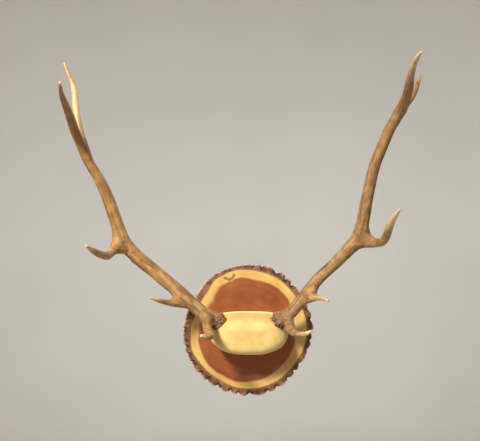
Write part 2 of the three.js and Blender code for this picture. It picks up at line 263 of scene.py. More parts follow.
def noise(points, size, seed=0):
    """Smooth noise from -1 to 1 whose lumps are about as wide as size."""
    place = np.asarray(points) / size
    cell = np.floor(place).astype(np.int64)
    part = place - cell
    part = part ** 3 * (part * (part * 6 - 15) + 10)
    total = np.zeros(len(place))
    for corner in itertools.product((0, 1), repeat=3):
        share = np.prod(np.where(np.array(corner) == 1, part, 1 - part), axis=-1)
        total += share * corner_value(cell + np.array(corner), seed)
    return total


def rough_noise(points, size, seed=0, layers=3):
    """Noise with finer layers on top of coarser ones."""
    total = np.zeros(len(points))
    for layer in range(layers):
        total += noise(points, size / 2 ** layer, seed + layer) / 2 ** layer
    return total


def make_object(name, vertices, faces, attributes=None, smooth=True):
    """A mesh object with named numbers or vectors stored on its points."""
    mesh = bpy.data.meshes.new(name)
    mesh.from_pydata(np.asarray(vertices).tolist(), [], faces)
    mesh.polygons.foreach_set("use_smooth", [smooth] * len(mesh.polygons))
    for key, values in (attributes or {}).items():
        store(mesh, key, values)
    mesh.update()
    piece = bpy.data.objects.new(name, mesh)
    bpy.context.scene.collection.objects.link(piece)
    return piece


def store(mesh, key, values):
    """Stores a number or a vector for each point of a mesh."""
    values = np.asarray(values, dtype=np.float32)
    if values.ndim == 2:
        mesh.attributes.new(key, "FLOAT_VECTOR", "POINT").data.foreach_set("vector", values.ravel())
    else:
        mesh.attributes.new(key, "FLOAT", "POINT").data.foreach_set("value", values)


def ring_faces(rings, sides, closed_start=True, closed_end=True):
    """Quads between rings of points laid one after another, and a face across each end."""
    faces = []
    for ring in range(rings - 1):
        for side in range(sides):
            beside = (side + 1) % sides
            faces.append((
                ring * sides + side,
                ring * sides + beside,
                (ring + 1) * sides + beside,
                (ring + 1) * sides + side,
            ))
    if closed_start:
        faces.append(tuple(reversed(range(sides))))
    if closed_end:
        faces.append(tuple(range((rings - 1) * sides, rings * sides)))
    return faces


# Centre lines

class Branch:
    """The smooth centre line of a beam or tine, with its radius, length and a direction across it."""

    def __init__(self, line, paleness, web, steps_per_span, first_place=0.0):
        samples = curve_samples(np.array(line), first_place, steps_per_span)
        self.centre = samples[:, :3]
        self.radius = samples[:, 3]
        steps = np.linalg.norm(np.diff(self.centre, axis=0), axis=1)
        self.length = np.concatenate([[0], np.cumsum(steps)])
        self.paleness = np.array(paleness)
        self.web = web
        along = np.gradient(self.centre, axis=0)
        self.along = along / np.linalg.norm(along, axis=1)[:, None]
        across = np.array([0, 0.3, 1.0])
        self.across = np.empty_like(self.along)
        for step, direction in enumerate(self.along):
            across = across - across.dot(direction) * direction
            across = across / np.linalg.norm(across)
            self.across[step] = across
        self.aside = np.cross(self.across, self.along)


def curve_samples(points, first_place, steps_per_span):
    """Samples of a centripetal Catmull-Rom curve through points."""
    ends = [2 * points[0] - points[1], 2 * points[-1] - points[-2]]
    padded = np.vstack([ends[0], points, ends[1]])
    gaps = np.sqrt(np.linalg.norm(np.diff(padded[:, :3], axis=0), axis=1))[:, None]
    samples = []
    spans = len(points) - 1
    for place in np.arange(first_place, spans + TINY, 1 / steps_per_span):
        span = min(int(place + TINY), spans - 1)
        before, start, end, after = padded[span:span + 4]
        gap_before, gap, gap_after = gaps[span:span + 3]
        slope_in = (start - before) / gap_before - (end - before) / (gap_before + gap) + (end - start) / gap
        slope_out = (end - start) / gap - (after - start) / (gap + gap_after) + (after - end) / gap_after
        part = place - span
        cube, square = part ** 3, part ** 2
        samples.append(
            (2 * cube - 3 * square + 1) * start + (cube - 2 * square + part) * slope_in * gap
            + (3 * square - 2 * cube) * end + (cube - square) * slope_out * gap
        )
    return np.array(samples)


def nearest_on(branch, points):
    """How far each point is from a branch's skin, the way out of it, and its place along and round it."""
    found = {key: [] for key in ("gap", "outward", "along", "turn")}
    start = branch.centre[:-1]
    span = np.diff(branch.centre, axis=0)
    span_square = (span ** 2).sum(axis=1)
    widen = np.diff(branch.radius)
    for part in np.array_split(points, max(1, len(points) // 6000)):
        offset = part[:, None] - start[None]
        share = np.clip((offset * span).sum(axis=2) / span_square, 0, 1)
        offset -= share[..., None] * span
        reach = np.sqrt((offset ** 2).sum(axis=2))
        gap = reach - branch.radius[:-1] - share * widen
        best = gap.argmin(axis=1)
        row = np.arange(len(part))
        share = share[row, best]
        outward = offset[row, best] / np.maximum(reach[row, best], TINY)[:, None]
        across = branch.across[best] * (1 - share)[:, None] + branch.across[best + 1] * share[:, None]
        aside = branch.aside[best] * (1 - share)[:, None] + branch.aside[best + 1] * share[:, None]
        found["gap"].append(gap[row, best])
        found["outward"].append(outward)
        found["along"].append(branch.length[best] * (1 - share) + branch.length[best + 1] * share)
        found["turn"].append(np.column_stack([(outward * across).sum(axis=1), (outward * aside).sum(axis=1)]))
    return {key: np.concatenate(values) for key, values in found.items()}


# Antlers

def blend_in(gap, outward, new_gap, new_outward, width):
    """Joins a shape to another with a rounded inner corner."""
    near = np.clip(1 - np.abs(new_gap - gap) / width, 0, 1)
    joined = np.minimum(gap, new_gap) - near ** 2 * width / 4
    new_share = np.where(new_gap < gap, 1 - near / 2, near / 2)[:, None]
    return joined, outward * (1 - new_share) + new_outward * new_share


def rod_gap(points, start, end, radius):
    """Distance to a short round-ended rod, and the way out of it."""
    span = end - start
    offset = points - start
    share = np.clip(offset @ span / span.dot(span), 0, 1)
    offset = offset - share[:, None] * span
    reach = np.linalg.norm(offset, axis=1)
    return reach - radius, offset / np.maximum(reach, TINY)[:, None]


def sphere_gap(points, middle, radius):
    """Distance to a ball, and the way out of it."""
    offset = points - middle
    reach = np.linalg.norm(offset, axis=1)
    return reach - radius, offset / np.maximum(reach, TINY)[:, None]


class Antler:
    """One antler as a smooth field: branches joined at their forks, a burr with pearls, and small hollows."""

    def __init__(self, side):
        lines = ANTLERS[side]
        self.side = side
        self.beam = Branch(*lines["beam"], BEAM_STEPS, ROOT_PLACE)
        self.branches = [self.beam] + [Branch(*lines[name], TINE_STEPS) for name in lines if name != "beam"]
        step = int((BURR_AT - ROOT_PLACE) * BEAM_STEPS)
        self.burr_middle = self.beam.centre[step]
        self.burr_axis = self.beam.along[step]
        self.burr_across = self.beam.across[step]
        self.burr_aside = self.beam.aside[step]
        self.teeth = list(self.tooth_places())

    def tooth_places(self):
        """Start, end and radius of each tooth. The sines make every tooth a little different."""
        for row, (count, inner, outer, along, radius) in enumerate(TOOTH_ROWS):
            for number in range(count):
                turn = 2 * math.pi * (number + 0.5 * (row % 2) + 0.2 * math.sin(4.3 * number)) / count
                uneven = math.sin(5.1 * number + 2.3 * row)
                direction = math.cos(turn) * self.burr_across + math.sin(turn) * self.burr_aside
                level = self.burr_middle + self.burr_axis * (along + 0.0012 * math.sin(3 * number + row))
                lean = self.burr_axis * 0.0016 * math.sin(2.1 * number + row)
                start = level + direction * inner
                end = level + direction * outer * (1 + 0.07 * uneven) + lean
                yield start, end, radius * (1 + 0.22 * math.sin(2.7 * number + 4 * row))

    def burr_gap(self, points):
        """Distance to the ring of the burr."""
        offset = points - self.burr_middle
        height = offset @ self.burr_axis
        flat = offset - height[:, None] * self.burr_axis
        reach = np.maximum(np.linalg.norm(flat, axis=1), TINY)
        over = reach - BURR_RING_RADIUS
        gap = np.sqrt(over ** 2 + height ** 2)
        outward = (over / reach)[:, None] * flat + height[:, None] * self.burr_axis
        return gap - BURR_RING_THICKNESS, outward / np.maximum(gap, TINY)[:, None]

    def skin(self, points):
        """Distance to the whole antler's smooth skin, and the way out of it."""
        found = [nearest_on(branch, points) for branch in self.branches]
        gap, outward = found[0]["gap"], found[0]["outward"]
        for branch, tine in zip(self.branches[1:], found[1:]):
            facing_apart = 1 - (outward * tine["outward"]).sum(axis=1)
            started = smoothstep(0, WEB_START, tine["along"])
            in_fork = smoothstep(0, 0.8, facing_apart)
            width = ROOT_WEB + started * (SIDE_WEB + (branch.web - SIDE_WEB) * in_fork)
            gap, outward = blend_in(gap, outward, tine["gap"], tine["outward"], width)
        gap, outward = blend_in(gap, outward, *self.burr_gap(points), BURR_BLEND)
        near = np.flatnonzero(np.linalg.norm(points - self.burr_middle, axis=1) < BURR_REACH)
        for start, end, radius in self.teeth:
            tooth_gap, tooth_outward = rod_gap(points[near], start, end, radius)
            gap[near], outward[near] = blend_in(
                gap[near], outward[near], tooth_gap, tooth_outward, TOOTH_BLEND)
        for *middle, radius in NUBS[self.side]:
            gap, outward = blend_in(gap, outward, *sphere_gap(points, middle, radius), NUB_BLEND)
        for *middle, radius in HOLLOWS[self.side]:
            hole, inward = sphere_gap(points, middle, radius)
            gap, outward = blend_in(-gap, -outward, hole, inward, HOLLOW_BLEND)
            gap, outward = -gap, -outward
        return gap, outward, found

    def rough_body(self):
        """Plain closed tubes and a burr disc, to be fused into one closed mesh."""
        turns = 2 * math.pi * np.arange(ROUGH_SIDES) / ROUGH_SIDES
        cosine = np.cos(turns)[:, None]
        sine = np.sin(turns)[:, None]
        bodies = []
        for branch in self.branches:
            ring = cosine * branch.across[:, None] + sine * branch.aside[:, None]
            reach = branch.radius[:, None, None] + ROUGH_MARGIN
            bodies.append((branch.centre[:, None] + ring * reach).reshape(-1, 3))
        ring = cosine * self.burr_across + sine * self.burr_aside
        bodies.append(np.concatenate([
            self.burr_middle + self.burr_axis * along + ring * reach for along, reach in ROUGH_BURR
        ]))
        faces = []
        first = 0
        for body in bodies:
            rings = len(body) // ROUGH_SIDES
            faces += [tuple(first + point for point in face) for face in ring_faces(rings, ROUGH_SIDES)]
            first += len(body)
        return make_object(f"{self.side}_rough", np.concatenate(bodies), faces)


def fused(piece, voxel):
    """The points and faces of a piece's closed bodies joined in one even mesh."""
    remesh = piece.modifiers.new("fuse", "REMESH")
    remesh.mode = "VOXEL"
    remesh.voxel_size = voxel
    graph = bpy.context.evaluated_depsgraph_get()
    mesh = piece.evaluated_get(graph).to_mesh()
    points = np.empty(len(mesh.vertices) * 3)
    mesh.vertices.foreach_get("co", points)
    faces = [tuple(polygon.vertices) for polygon in mesh.polygons]
    edges = np.empty(len(mesh.edges) * 2, dtype=np.int64)
    mesh.edges.foreach_get("vertices", edges)
    piece.evaluated_get(graph).to_mesh_clear()
    bpy.data.objects.remove(piece, do_unlink=True)
    return points.reshape(-1, 3), faces, edges.reshape(-1, 2)


def relaxed(points, edges, rounds):
    """Points moved half way towards the average of their neighbours."""
    count = np.bincount(edges.ravel(), minlength=len(points))[:, None]
    for _ in range(rounds):
        total = np.zeros_like(points)
        np.add.at(total, edges[:, 0], points[edges[:, 1]])
        np.add.at(total, edges[:, 1], points[edges[:, 0]])
        points = 0.5 * points + 0.5 * total / count
    return points


def fork_share(found):
    """How close each point is to the line where a tine's skin meets the beam's, from 0 to 1."""
    beam = found[0]["gap"]
    share = np.zeros(len(beam))
    for tine in found[1:]:
        apart = np.abs(tine["gap"] - beam)
        share = np.maximum(share, 1 - smoothstep(*FORK_REACH, apart))
    return share


def antler_relief(antler, points, found):
    """Lengthwise gutters, pearling near the burr and fine grain, and the numbers that colour them, among them
    painted shade high on the antler and in the hollows.
    """
    gaps = np.stack([place["gap"] for place in found])
    weights = np.exp(-(gaps - gaps.min(axis=0)) / 0.004)
    for place, weight in zip(found[1:], weights[1:]):
        weight *= smoothstep(0.004, ROOT_FADE, place["along"])
    weights[0] += 1e-6
    weights /= weights.sum(axis=0)
    height = np.zeros(len(points))
    pale = np.zeros(len(points))
    deep = np.zeros(len(points))
    grain = np.zeros((len(points), 3))
    for number, (branch, place, weight) in enumerate(zip(antler.branches, found, weights)):
        is_beam = branch is antler.beam
        total = branch.length[-1]
        along = place["along"]
        tip = total - along
        radius = np.interp(along, branch.length, branch.radius)
        around = place["turn"] * radius[:, None]
        share = along / total
        if is_beam:
            strength = 1 - 0.65 * smoothstep(0.3, 0.75, share)
        else:
            strength = 0.6 - 0.45 * smoothstep(0.2, 0.7, share)
        seed = 40 * number + RELIEF_SEEDS[antler.side]
        wander = noise(np.column_stack([around, along / 14]), GUTTER_SIZE, seed)
        patchy = 0.55 + 0.45 * noise(np.column_stack([around, along / 3]), 0.018, seed + 3)
        groove = np.exp(-(wander / GUTTER_WIDTH) ** 2) * patchy
        broad = noise(np.column_stack([around, along / 5]), SWELL_SIZE, seed + 5)
        fine = rough_noise(np.column_stack([around, along / 8]), GRAIN_SIZE, seed + 9, 2)
        lift = strength * (-GUTTER_DEPTH * groove + SWELL_HEIGHT * broad + GRAIN_HEIGHT * fine)
        height += weight * lift * smoothstep(0.0, 0.05, tip)
        pale += weight * np.interp(tip, branch.paleness[:, 0], branch.paleness[:, 1])
        shade_places, shade_values = BEAM_PAINTED_SHADE if is_beam else TINE_PAINTED_SHADE
        # The deep number is painted shade: darker brown on the beams and tines, only above 0.30 to 0.45 m.
        deep += weight * np.interp(share, shade_places, shade_values) * smoothstep(0.30, 0.45, points[:, 2])
        grain += weight[:, None] * np.column_stack([around, along / 12])
    root = np.linalg.norm(points - antler.burr_middle, axis=1)
    near_root = 1 - smoothstep(*NEAR_BURR, root)
    pearling = np.maximum(noise(points, PEARL_SIZE, 5) - 0.1, 0)
    height += near_root * PEARL_HEIGHT * pearling
    height += near_root * PEARL_GRAIN * rough_noise(points, 0.002, 77, 2)
    # Painted shade in the hollows between each burr and its brow tine, strongest at their middles.
    hollow_painted_shade = np.zeros(len(points))
    for *middle, radius in HOLLOWS[antler.side]:
        depth = np.linalg.norm(points - middle, axis=1) / radius
        hollow_painted_shade = np.maximum(hollow_painted_shade, 1 - smoothstep(0.85, 1.25, depth))
    return height, {"pale": pale, "deep": deep, "root": near_root, "grain": grain, "hollow_painted_shade": hollow_painted_shade}


def antler_mesh(side):
    """One antler, from its fused rough body drawn on to the smooth skin and then given its relief."""
    antler = Antler(side)
    points, faces, edges = fused(antler.rough_body(), ANTLER_VOXEL)
    for rounds in (2, 1, 0):
        gap, outward, found = antler.skin(points)
        steepness = np.maximum((outward ** 2).sum(axis=1), 0.25)
        step = np.clip(gap, -0.004, 0.004) / steepness
        points = relaxed(points - step[:, None] * outward, edges, rounds)
    gap, outward, found = antler.skin(points)
    outward /= np.maximum(np.linalg.norm(outward, axis=1), 0.3)[:, None]
    points -= np.clip(gap, -0.002, 0.002)[:, None] * outward
    points += fork_share(found)[:, None] * (relaxed(points, edges, FORK_ROUNDS) - points)
    height, marks = antler_relief(antler, points, found)
    height = relaxed(height[:, None], edges, 2)[:, 0]
    points += height[:, None] * outward
    # How far each point stands proud of its neighbours, stored as edge: the material paints shade in the
    # crevices and, with real wear, a highlight on the ridges from it.
    proud = ((points - relaxed(points, edges, 6)) * outward).sum(axis=1)[:, None]
    proud = (proud - relaxed(proud, edges, 24))[:, 0]
    piece = make_object(f"{side}_antler", points, faces, {
        "relief": 0.5 + height / RELIEF_RANGE,
        "edge": 0.5 + proud / EDGE_RANGE,
        **marks,
    })
    names = ["main_beam", "upper_beam", "beam_tip", "brow_tine", "bez_tine", "trez_tine", "royal_tine"]
    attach(piece, "root")
    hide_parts(*[f"{side}_{name}" for name in names])
    return piece


# Log slice

def around_turn(values, angle):
    """A value that runs smoothly round a full turn through evenly spaced values."""
    values = np.asarray(values)
    place = (angle / (2 * math.pi)) % 1 * len(values)
    index = np.floor(place).astype(int)
    blend = smoothstep(0, 1, place - index)
    return values[index % len(values)] * (1 - blend) + values[(index + 1) % len(values)] * blend


def bark_change(angle, stretch):
    """How much a stretch of bark changes the lumps at an angle."""
    at, spread, change = stretch
    apart = np.abs((angle - at + math.pi) % (2 * math.pi) - math.pi)
    return change * (1 - smoothstep(0, spread, apart))


def bark_shape(angle):
    """The bark's outer radius, and how deep in a furrow it is from 0 to 1."""
    wander = 0.5 * np.sin(3 * angle + 1) + 0.4 * np.sin(7 * angle) + 0.55 * np.sin(12 * angle + 2)
    phase = BARK_LUMPS * angle / 2 + wander
    knobby = bark_change(angle, KNOBBY_BARK)
    ridge = np.abs(np.sin(phase)) ** (FURROW_NARROWNESS + 1.2 * knobby)
    lump = np.floor(phase / math.pi)
    size = 1 + bark_change(angle, SMOOTH_BARK) + knobby
    swell = LUMP_SWELL * np.sin(phase / LUMP_SWELL_SPACING) * size
    own = 1 + LUMP_VARIETY * np.sin(12.9 * lump)
    nicks = NICK_DEPTH * size * np.abs(np.sin(2.6 * phase + 1.7 * np.sin(1.7 * phase))) ** 0.5 * ridge
    radius = around_turn(BARK_RADII, angle) + swell + nicks + FURROW_DEPTH * size * (ridge * own - 1.15)
    return radius, (1 - ridge) * np.clip(size, 0.35, 1.3)


def crack_depth(x, z):
    """How deep in the crack a point of the face is, from 0 to 1."""
    best = np.full(len(x), 1.0)
    for (x0, z0), (x1, z1) in zip(CRACK[:-1], CRACK[1:]):
        dx, dz = x1 - x0, z1 - z0
        share = np.clip(((x - x0) * dx + (z - z0) * dz) / (dx * dx + dz * dz), 0, 1)
        best = np.minimum(best, np.hypot(x - x0 - share * dx, z - z0 - share * dz))
    return np.exp(-(best / CRACK_WIDTH) ** 2)


def slice_rings(angle):
    """The slice's surface ring by ring, from the middle of its face to the middle of its back.

    Each ring gives the radius, the height, the share of the way out through the wood, the share of the way
    through the bark and the depth in a furrow.
    """
    wood = around_turn(WOOD_RADII, angle)
    outer, furrow = bark_shape(angle)
    level = np.zeros_like(angle)
    face = -SLAB_THICKNESS
    for share in np.concatenate([np.linspace(0.02, 0.66, 14), np.linspace(0.68, 0.985, 36)]):
        yield wood * share, level + face, level + share, level, furrow
    yield wood * 0.993, level + face + 0.0002, level + 1, level + 0.3, furrow
    for share in 1 - (1 - np.linspace(0, 1, 16)[1:]) ** 1.5:
        lean = min(1.0, max(0.0, (share - 0.7) / 0.3))
        rounding = RIM_ROUNDING * (1 - math.sqrt(1 - lean ** 2))
        sunk = BARK_STEP + rounding + RIM_FURROW_DEPTH * furrow * smoothstep(0.3, 0.95, share)
        yield wood + (outer - wood) * share, face + sunk, level + 1, level + 0.35 + 0.4 * share, furrow
    front_edge = face + BARK_STEP + RIM_ROUNDING + RIM_FURROW_DEPTH * furrow
    for share in np.linspace(0, 1, 18)[1:]:
        height = front_edge * (1 - share) - BACK_ROUNDING * share
        bulge = SIDE_BULGE * np.sin(math.pi * share)
        yield outer + bulge * (1 - furrow), height, level + 1, level + 1, furrow
    for share in (0.85, 0.6, 0.3, 0.05):
        yield wood + (outer - wood) * share, level, level + 1, level + 0.35 + 0.4 * share, furrow
    for share in (0.995, 0.95, 0.85, 0.7, 0.5, 0.3, 0.1, 0.02):
        yield wood * share, level, level + share, level, furrow


def log_slice():
    """The slice of log with its bark, sawn face and crack."""
    sides = BARK_LUMPS * SIDES_PER_LUMP
    angle = 2 * math.pi * np.arange(sides) / sides
    rings = list(slice_rings(angle))
    radius, height, ring, bark, furrow = (np.concatenate(column) for column in zip(*rings))
    turn = np.tile(angle, len(rings))
    x = radius * np.cos(turn)
    z = radius * np.sin(turn)
    points = np.column_stack([x, height, z])
    on_face = (height < -SLAB_THICKNESS + 0.0005) & (bark < 0.5)
    on_back = height > -0.0005
    crack = np.where(on_face, crack_depth(x, z), 0)
    rough = np.where(on_back, 0, np.clip((bark - 0.3) * 2, 0, 1))
    outward = np.column_stack([np.cos(turn), 0 * turn, np.sin(turn)])
    side = np.clip((bark - 0.7) * 4, 0, 1) * ~on_back
    chunk = rough_noise(points, CHUNK_SIZE, 21, 3)
    flakes = noise(points * np.array([1, 2.2, 1]), FLAKE_SIZE, 31)
    points += (side * (SIDE_CHUNKS * chunk + SIDE_FLAKES * flakes - SIDE_INSET))[:, None] * outward
    front = rough * (1 - side)
    points[:, 1] += front * (EDGE_CHUNKS * chunk + EDGE_FLAKES * flakes) + CRACK_DEPTH * crack
    points[:, 1] += np.where(on_face, SAW_MARKS * rough_noise(points, 0.01, 3, 2), 0)
    points[:, 1] = np.minimum(points[:, 1], 0)
    points[:, 1] = np.maximum(points[:, 1], -SLAB_THICKNESS)
    at, spread, softest = SOFT_HEART
    softness = SHARP_HEART + bark_change(turn, (at, spread, softest - SHARP_HEART))
    heart = 0.5 + 0.5 * (around_turn(HEART_RADII, turn) - radius) / softness
    piece = make_object("log_slice_wood", points, ring_faces(len(rings), sides), {
        "heart": heart,
        "rings": ring,
        "bark": bark,
        "furrow": furrow,
        "crack": crack,
        "chunk": 0.5 + 0.5 * np.clip(chunk, -1, 1),
    })
    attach(piece, "root")
    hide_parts("log_slice")
    return piece


# Skull cap cover

def cover_ring(unit, margin=0.0):
    """Points of the cover's skin in the given directions from its middle, moved out by a margin."""
    low, high = COVER_SQUARENESS
    upper = smoothstep(-0.3, 0.3, unit[:, 2])
    power = low + (high - low) * upper
    flatness = COVER_FLATNESS[0] + (COVER_FLATNESS[1] - COVER_FLATNESS[0]) * upper
    across = (np.abs(unit[:, 0]) ** power + np.abs(unit[:, 2]) ** power) ** (1 / power)
    reach = (across ** flatness + np.abs(unit[:, 1]) ** flatness) ** (-1 / flatness)
    rise = np.where(unit[:, 2] > 0, COVER_RISE, COVER_DROP)
    return np.column_stack([
        COVER_CENTRE[0] + unit[:, 0] * reach * (COVER_HALF_WIDTH + margin),
        COVER_FOOT + unit[:, 1] * reach * COVER_DEPTH,
        COVER_CENTRE[1] + unit[:, 2] * reach * (rise + margin),
    ])


def lip_ring(unit, margin, height, share=1):
    """A level ring of the lip or of the foot under it, drawn in to a share of its reach."""
    ring = cover_ring(unit, margin)
    ring[:, 0] = COVER_CENTRE[0] + (ring[:, 0] - COVER_CENTRE[0]) * share
    ring[:, 1] = height
    ring[:, 2] = COVER_CENTRE[1] + (ring[:, 2] - COVER_CENTRE[1]) * share
    return ring


def skull_cover():
    """The hide-like cover over the skull cap: a soft dome with a rolled lip against the slice."""
    angle = 2 * math.pi * np.arange(COVER_SIDES) / COVER_SIDES
    level = np.zeros_like(angle)
    flat = np.column_stack([np.cos(angle), level, np.sin(angle)])
    dome = []
    for lean in np.linspace(0, math.pi / 2, COVER_RINGS)[1:]:
        unit = flat * math.sin(lean)
        unit[:, 1] = -math.cos(lean)
        dome.append(cover_ring(unit))
    lip = [lip_ring(flat, out, COVER_FOOT - LIP_THICKNESS + back) for out, back in LIP_RINGS]
    foot = [lip_ring(flat, LIP_FOOT_REACH, COVER_FOOT, share) for share in (1, 0.6, 0.2)]
    points = np.concatenate(dome + lip + foot)
    rings = len(points) // COVER_SIDES
    dome_edge = COVER_FOOT - (LIP_THICKNESS + 0.001)
    on_dome = smoothstep(0, 0.012, dome_edge - points[:, 1])
    middle = np.array([COVER_CENTRE[0], COVER_FOOT, COVER_CENTRE[1]])
    outward = points - middle
    outward /= np.linalg.norm(outward, axis=1)[:, None]
    soft = sum(height * noise(points, size, seed) for height, size, seed in HIDE_WAVES)
    points += ((soft - HIDE_INSET) * on_dome)[:, None] * outward
    piece = make_object("skull_cover_hide", points, ring_faces(rings, COVER_SIDES), {
        "crease": 0.5 + soft / 0.003,
        # The lip mask, where the material paints a highlight on the rolled edge.
        "lip": np.repeat(np.arange(rings) >= len(dome), COVER_SIDES),
    })
    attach(piece, "root")
    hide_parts("skull_cover")
    return piece


# Materials

# Sockets of a colour mix node
MIX_FIRST = 6
MIX_SECOND = 7
MIX_RESULT = 2


class Look:
    """A material built from nodes."""

    def __init__(self, name):
        self.material = bpy.data.materials.new(name)
        self.material.use_nodes = True
        self.tree = self.material.node_tree
        self.shader = self.tree.nodes["Principled BSDF"]

    def node(self, kind, inputs=None, **settings):
        made = self.tree.nodes.new(kind)
        for key, value in settings.items():
            setattr(made, key, value)
        for key, value in (inputs or {}).items():
            self.put(made.inputs[key], value)
        return made

    def put(self, socket, value):
        if isinstance(value, bpy.types.NodeSocket):
            self.tree.links.new(value, socket)
        else:
            socket.default_value = value

    def attribute(self, name, vector=False):
        made = self.node("ShaderNodeAttribute", attribute_name=name)
        return made.outputs["Vector" if vector else "Fac"]

    def noise(self, vector, scale, detail=4.0, roughness=0.6):
        made = self.node("ShaderNodeTexNoise", {
            "Vector": vector, "Scale": scale, "Detail": detail, "Roughness": roughness,
        })
        return made.outputs["Fac"]

    def place(self):
        return self.node("ShaderNodeTexCoord").outputs["Object"]

    def ramp(self, value, stops):
        made = self.node("ShaderNodeValToRGB", {"Fac": value})
        elements = made.color_ramp.elements
        while len(elements) < len(stops):
            elements.new(0.5)
        for element, (position, colour) in zip(elements, stops):
            element.position = position
            element.color = (*colour, 1)
        return made.outputs["Color"]

    def mix(self, share, first, second, blend="MIX"):
        made = self.node("ShaderNodeMix", data_type="RGBA", blend_type=blend)
        self.put(made.inputs["Factor"], share)
        self.put(made.inputs[MIX_FIRST], self.colour(first))
        self.put(made.inputs[MIX_SECOND], self.colour(second))
        return made.outputs[MIX_RESULT]

    @staticmethod
    def colour(value):
        return value if isinstance(value, bpy.types.NodeSocket) else (*value, 1)

    def math(self, operation, first, second, clamp):
        made = self.node("ShaderNodeMath", operation=operation, use_clamp=clamp)
        self.put(made.inputs[0], first)
        self.put(made.inputs[1], second)
        return made.outputs[0]

    def times(self, first, second, clamp=False):
        return self.math("MULTIPLY", first, second, clamp)

    def plus(self, first, second, clamp=False):
        return self.math("ADD", first, second, clamp)

    def spread(self, value, low, high, to_low=0.0, to_high=1.0):
        """A value that runs from to_low to to_high as another runs from low to high."""
        made = self.node("ShaderNodeMapRange", {
            "Value": value, "From Min": low, "From Max": high, "To Min": to_low, "To Max": to_high,
        })
        return made.outputs["Result"]

    def finish(self, colour, roughness, bump, strength=0.5, distance=0.001):
        self.put(self.shader.inputs["Base Color"], colour)
        self.put(self.shader.inputs["Roughness"], roughness)
        normal = self.node("ShaderNodeBump", {"Height": bump, "Strength": strength, "Distance": distance})
        self.put(self.shader.inputs["Normal"], normal.outputs["Normal"])
        return self.material


# Colours from the gutters to the ridges of each antler. The right one is browner and more mottled.
ANTLER_TONES = {
    "left": [
        (0.36, (0.21, 0.095, 0.028)),
        (0.45, (0.36, 0.190, 0.066)),
        (0.53, (0.48, 0.285, 0.115)),
        (0.62, (0.64, 0.42, 0.20)),
    ],
    "right": [
        (0.37, (0.16, 0.075, 0.028)),
        (0.46, (0.31, 0.165, 0.066)),
        (0.53, (0.42, 0.250, 0.110)),
        (0.62, (0.57, 0.38, 0.19)),
    ],
}
MOTTLE_SCALE = {"left": 34, "right": 55}


def antler_look(side):
    look = Look(f"{side}_antler_bone")
    place = look.place()
    grain = look.attribute("grain", vector=True)
    relief = look.attribute("relief")
    streaks = look.noise(grain, 420, 5, 0.65)
    mottle = look.noise(place, MOTTLE_SCALE[side], 5, 0.6)
    tone = look.plus(look.times(streaks, 0.5), look.times(mottle, 0.5))
    base = look.ramp(tone, ANTLER_TONES[side])
    dusty = look.ramp(mottle, [(0.35, (0.26, 0.145, 0.075)), (0.65, (0.45, 0.28, 0.155))])
    root = look.attribute("root")
    edge = look.attribute("edge")
    base = look.mix(look.times(root, 0.7), base, dusty)
    # Painted shade: the deep number darkens the upper beams and tines to dark brown.
    base = look.mix(look.times(look.attribute("deep"), 0.6), base, (0.25, 0.118, 0.034))
    gutter = look.spread(relief, 0.5, 0.2)
    base = look.mix(look.times(gutter, 0.7), base, (0.17, 0.072, 0.024))
    # Paler on ridges that stand proud: partly real rubbed wear and partly a painted highlight, less near the
    # burr. Its smoother roughness is the real polish.
    wear_and_highlight = look.times(look.spread(edge, 0.58, 0.85), look.spread(root, 0.2, 0.8, 0.5, 0.3))
    base = look.mix(wear_and_highlight, base, (0.72, 0.50, 0.27))
    # Painted shade: dark brown in the crevices, strongest near the burr.
    crevice_painted_shade = look.times(look.spread(edge, 0.44, 0.10), look.spread(root, 0.4, 0.9, 0.2, 0.7))
    base = look.mix(crevice_painted_shade, base, (0.13, 0.062, 0.028))
    pale = look.attribute("pale")
    streaky = look.times(look.plus(streaks, -0.5), 0.6)
    ragged = look.plus(pale, streaky, clamp=True)
    ivory = look.ramp(streaks, [(0.3, (0.58, 0.42, 0.21)), (0.6, (0.76, 0.63, 0.40))])
    colour = look.mix(look.spread(ragged, 0.15, 0.85), base, ivory)
    # Painted shade: almost black brown in the hollows between burr and brow tine.
    colour = look.mix(look.times(look.attribute("hollow_painted_shade"), 0.9), colour, (0.045, 0.020, 0.010))
    roughness = look.spread(look.plus(pale, look.times(wear_and_highlight, 0.4)), 0, 1, 0.66, 0.36)
    fine = look.noise(grain, 900, 3, 0.6)
    pores = look.noise(place, 700, 2, 0.5)
    bump = look.plus(fine, look.times(pores, 0.5))
    return look.finish(colour, roughness, bump, 0.35, 0.0006)


def face_colour(look, place):
    """The sawn face, with the dark line under the bark and the crack, and the tone of its rings."""
    rings = look.attribute("rings")
    wobble = look.times(look.noise(place, 9, 3, 0.5), 0.05)
    ring_place = look.node("ShaderNodeCombineXYZ", {"X": look.plus(rings, wobble)}).outputs["Vector"]
    ring_tone = look.noise(ring_place, 62, 3, 0.5)
    broad_tone = look.noise(ring_place, 7, 2, 0.5)
    blotch = look.noise(place, 16, 4, 0.6)
    tone = look.plus(look.times(ring_tone, 0.25), look.times(broad_tone, 0.25))
    tone = look.plus(tone, look.times(blotch, 0.5))
    heartwood = look.ramp(tone, [
        (0.36, (0.22, 0.056, 0.017)),
        (0.50, (0.33, 0.097, 0.031)),
        (0.64, (0.42, 0.145, 0.049)),
    ])
    sapwood = look.ramp(tone, [
        (0.36, (0.62, 0.37, 0.115)),
        (0.50, (0.77, 0.52, 0.185)),
        (0.62, (0.85, 0.63, 0.26)),
    ])
    ragged_edge = look.times(look.plus(look.noise(place, 45, 4, 0.6), -0.5), 1.2)
    in_heart = look.spread(look.plus(look.attribute("heart"), ragged_edge), 0, 1)
    colour = look.mix(in_heart, sapwood, heartwood)
    cambium = look.spread(rings, 0.975, 0.995)
    colour = look.mix(look.times(cambium, 0.55), colour, (0.45, 0.22, 0.07))
    colour = look.mix(look.times(look.attribute("crack"), 0.8), colour, (0.16, 0.066, 0.02))
    return colour, ring_tone


